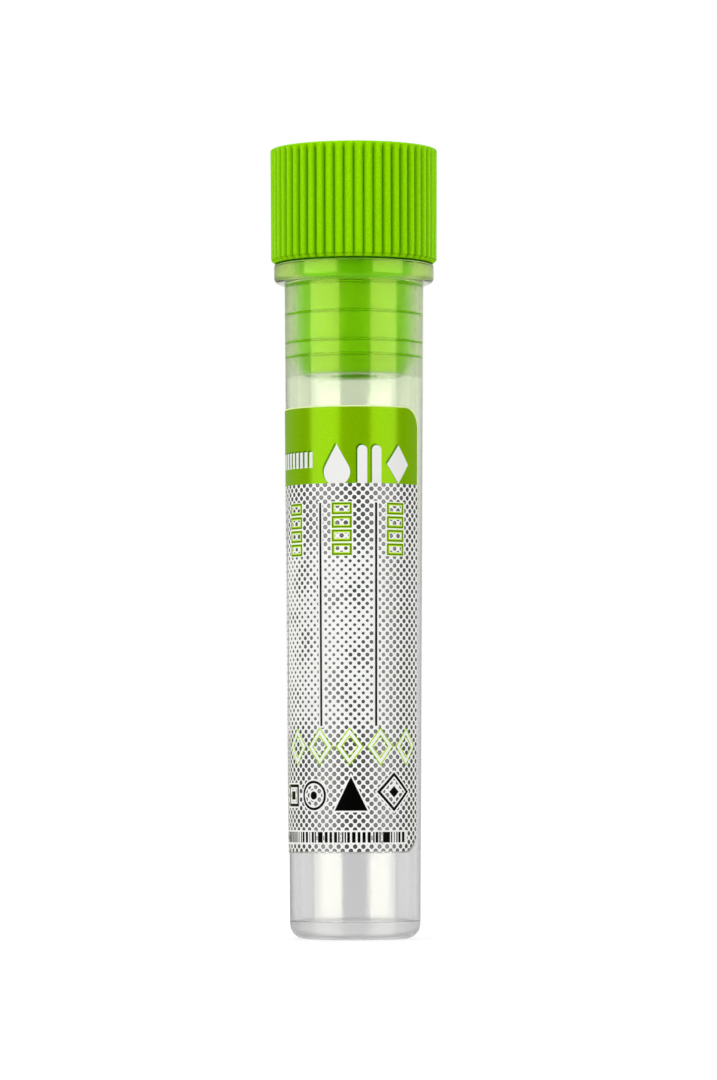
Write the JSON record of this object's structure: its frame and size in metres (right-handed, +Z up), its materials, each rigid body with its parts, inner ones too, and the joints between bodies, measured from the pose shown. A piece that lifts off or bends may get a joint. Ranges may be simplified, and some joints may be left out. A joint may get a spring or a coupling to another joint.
{
  "type": "blood collection tube",
  "caption": "Small flat-based clear tube with a hanging collar, a ribbed push-in stopper with sealing beads, and a printed film label that leaves a window to read the level.",
  "frame": {"origin": "centre of the base, on the plane that the tube stands on", "axes": "+Z up the tube's axis to the stopper's top; the label's printed front faces -Y and its window faces +X and a little back"},
  "size_m": [0.0144, 0.0144, 0.068],
  "materials": {
    "tube_clear": "clear moulded polypropylene, slightly hazy",
    "stopper_green": "lime green low-density polyethylene, satin",
    "label_film": "metallised film, white ink screen with a green head field"
  },
  "bodies": {
    "tube_body": {"tube": "tube_clear", "label": "label_film"},
    "stopper_body": {"stopper": "stopper_green"}
  },
  "joints": [
    {"name": "stopper_pull", "type": "slide", "parent": "tube_body", "child": "stopper_body", "axis": [0, 0, 1], "range_m": [0, 0.025]}
  ]
}
